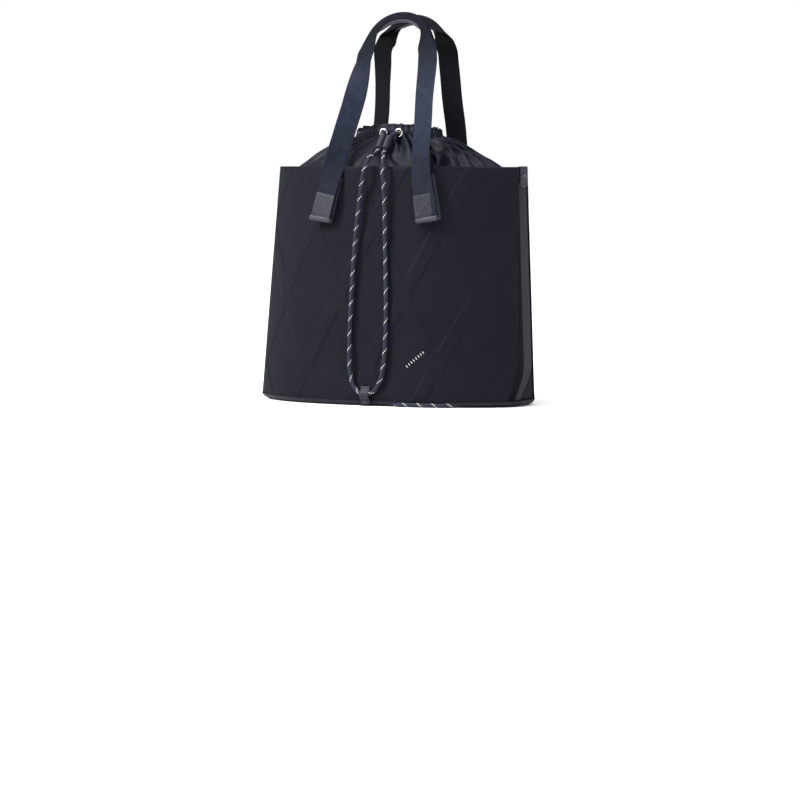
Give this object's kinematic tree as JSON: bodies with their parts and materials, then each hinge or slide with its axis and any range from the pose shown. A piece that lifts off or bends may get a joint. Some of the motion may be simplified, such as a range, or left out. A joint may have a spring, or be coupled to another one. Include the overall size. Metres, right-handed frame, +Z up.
{
  "type": "foldable tote bag",
  "caption": "Soft tote bag with folded gussets, a drawstring collar with cord loop and slider, swinging webbing handles on leather-wrapped bars, and leather snap tabs.",
  "frame": {"origin": "middle of the bag's footprint, on the surface it stands on", "axes": "+X to the bag's right as seen from the front, front face towards -Y, +Z up"},
  "size_m": [0.536, 0.247, 0.7322],
  "materials": {
    "panel_fabric": "tight matte nylon with a soft sheen",
    "gusset_fabric": "smooth nylon, slightly lighter",
    "collar_fabric": "thin satin nylon",
    "webbing": "close-woven satin webbing",
    "leather": "fine grained navy leather",
    "cord": "braided cord with white picks",
    "silver_metal": "polished nickel",
    "snap_metal": "dark lacquered snap"
  },
  "bodies": {
    "root": {"base_cord": "cord", "base_panel": "panel_fabric", "collar_hem": "collar_fabric", "collar_skirt": "collar_fabric", "drawcord": "cord", "eyelet_left": "silver_metal", "eyelet_right": "silver_metal", "front_anchor_left": "webbing", "front_anchor_right": "webbing", "front_panel": "panel_fabric", "front_rim_facing": "panel_fabric", "hem_cord": "cord", "keeper_foot": "leather", "left_gusset": "gusset_fabric", "left_tab_base": "leather", "left_tab_stud": "snap_metal", "rear_anchor_left": "webbing", "rear_anchor_right": "webbing", "rear_panel": "panel_fabric", "rear_rim_facing": "panel_fabric", "right_gusset": "gusset_fabric", "right_tab_base": "leather", "right_tab_stud": "snap_metal"},
    "front_handle": {"front_handle_strap": "webbing", "front_grip_lining": "leather", "front_bar_left": "leather", "front_bar_right": "leather", "front_patch_left": "leather", "front_patch_right": "leather"},
    "rear_handle": {"rear_handle_strap": "webbing", "rear_grip_lining": "leather", "rear_bar_left": "leather", "rear_bar_right": "leather", "rear_patch_left": "leather", "rear_patch_right": "leather"},
    "cord_slider": {"cord_slider": "leather"},
    "cord_keeper": {"keeper_tab": "leather", "keeper_snap_cap": "snap_metal"},
    "left_side_tab": {"left_tab": "leather", "left_tab_snap_cap": "snap_metal"},
    "right_side_tab": {"right_tab": "leather", "right_tab_snap_cap": "snap_metal"}
  },
  "joints": [
    {"name": "front_handle_swing", "type": "hinge", "parent": "root", "child": "front_handle", "pos_m": [0, -0.08398, 0.346], "axis": [1, 0, 0], "range_deg": [0, 145]},
    {"name": "rear_handle_swing", "type": "hinge", "parent": "root", "child": "rear_handle", "pos_m": [0, 0.11132, 0.346], "axis": [-1, 0, 0], "range_deg": [0, 145]},
    {"name": "cord_slider_slide", "type": "slide", "parent": "root", "child": "cord_slider", "axis": [-0.1198, -0.499, -0.8583], "range_m": [0, 0.006]},
    {"name": "cord_keeper_snap", "type": "hinge", "parent": "root", "child": "cord_keeper", "pos_m": [0, -0.1154, 0.0024], "axis": [1, 0, 0], "range_deg": [0, 48]},
    {"name": "left_tab_swing", "type": "hinge", "parent": "root", "child": "left_side_tab", "pos_m": [-0.2516, 0.037, 0.444], "axis": [0, 1, 0], "range_deg": [0, 120]},
    {"name": "right_tab_swing", "type": "hinge", "parent": "root", "child": "right_side_tab", "pos_m": [0.2516, 0.037, 0.444], "axis": [0, -1, 0], "range_deg": [0, 120]}
  ]
}
